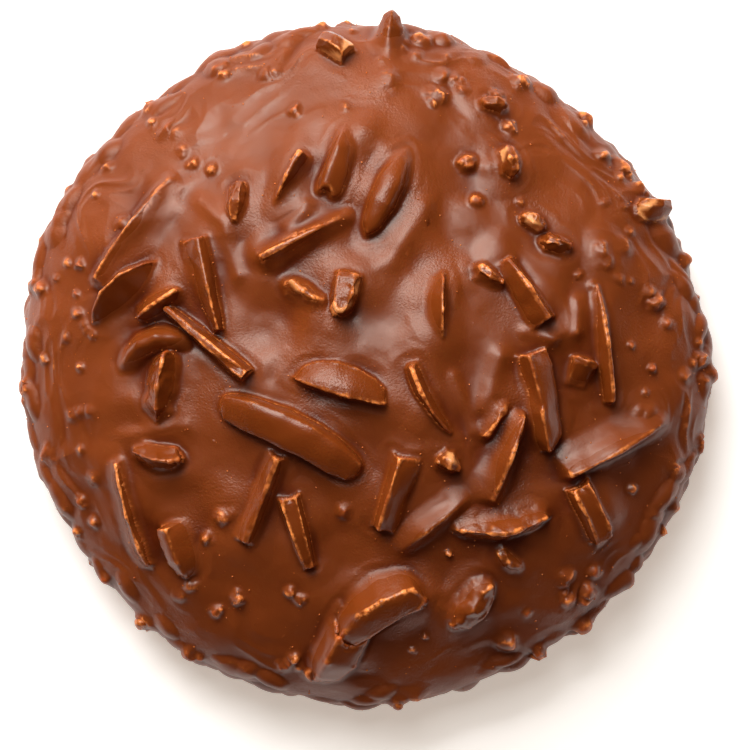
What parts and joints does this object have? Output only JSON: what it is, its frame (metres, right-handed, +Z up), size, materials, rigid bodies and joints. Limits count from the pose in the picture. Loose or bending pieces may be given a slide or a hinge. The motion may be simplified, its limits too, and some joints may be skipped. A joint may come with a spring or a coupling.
{
  "type": "chocolate-coated lebkuchen biscuit with slivered almonds",
  "caption": "Round domed lebkuchen biscuit enrobed in milk chocolate, with slivered almonds under the coat and a flat underside to rest on.",
  "frame": {"origin": "on the surface the biscuit rests on, below its middle", "axes": "+Z up, away from the flat underside; +Y towards the thorn-shaped almond at the rim"},
  "size_m": [0.0725, 0.0734, 0.019],
  "materials": {
    "milk_chocolate": "semi-gloss milk chocolate with soft wrinkles and fine pores",
    "coated_almond": "semi-gloss milk chocolate, thin and more orange on sharp edges"
  },
  "bodies": {
    "root": {"almond_blade_01": "coated_almond", "almond_blade_05": "coated_almond", "almond_blade_17": "coated_almond", "almond_blade_30": "coated_almond", "almond_blade_38": "coated_almond", "almond_blade_40": "coated_almond", "almond_boat_12": "coated_almond", "almond_chunk_03": "coated_almond", "almond_chunk_09": "coated_almond", "almond_chunk_10": "coated_almond", "almond_chunk_19": "coated_almond", "almond_chunk_20": "coated_almond", "almond_chunk_21": "coated_almond", "almond_chunk_22": "coated_almond", "almond_chunk_23": "coated_almond", "almond_chunk_24": "coated_almond", "almond_chunk_28": "coated_almond", "almond_chunk_29": "coated_almond", "almond_chunk_36": "coated_almond", "almond_chunk_37": "coated_almond", "almond_chunk_42": "coated_almond", "almond_chunk_47": "coated_almond", "almond_crescent_14": "coated_almond", "almond_half_moon_02": "coated_almond", "almond_half_moon_08": "coated_almond", "almond_half_moon_11": "coated_almond", "almond_half_moon_25": "coated_almond", "almond_half_moon_31": "coated_almond", "almond_half_moon_44": "coated_almond", "almond_leaf_06": "coated_almond", "almond_leaf_07": "coated_almond", "almond_leaf_27": "coated_almond", "almond_leaf_35": "coated_almond", "almond_lens_13": "coated_almond", "almond_lens_43": "coated_almond", "almond_rim_chunk_45": "coated_almond", "almond_rim_chunk_46": "coated_almond", "almond_rim_thorn_48": "coated_almond", "almond_stick_04": "coated_almond", "almond_stick_15": "coated_almond", "almond_stick_16": "coated_almond", "almond_stick_26": "coated_almond", "almond_stick_32": "coated_almond", "almond_stick_33": "coated_almond", "almond_stick_34": "coated_almond", "almond_stick_41": "coated_almond", "almond_wedge_18": "coated_almond", "almond_wedge_39": "coated_almond", "coated_biscuit": "milk_chocolate"}
  },
  "joints": []
}
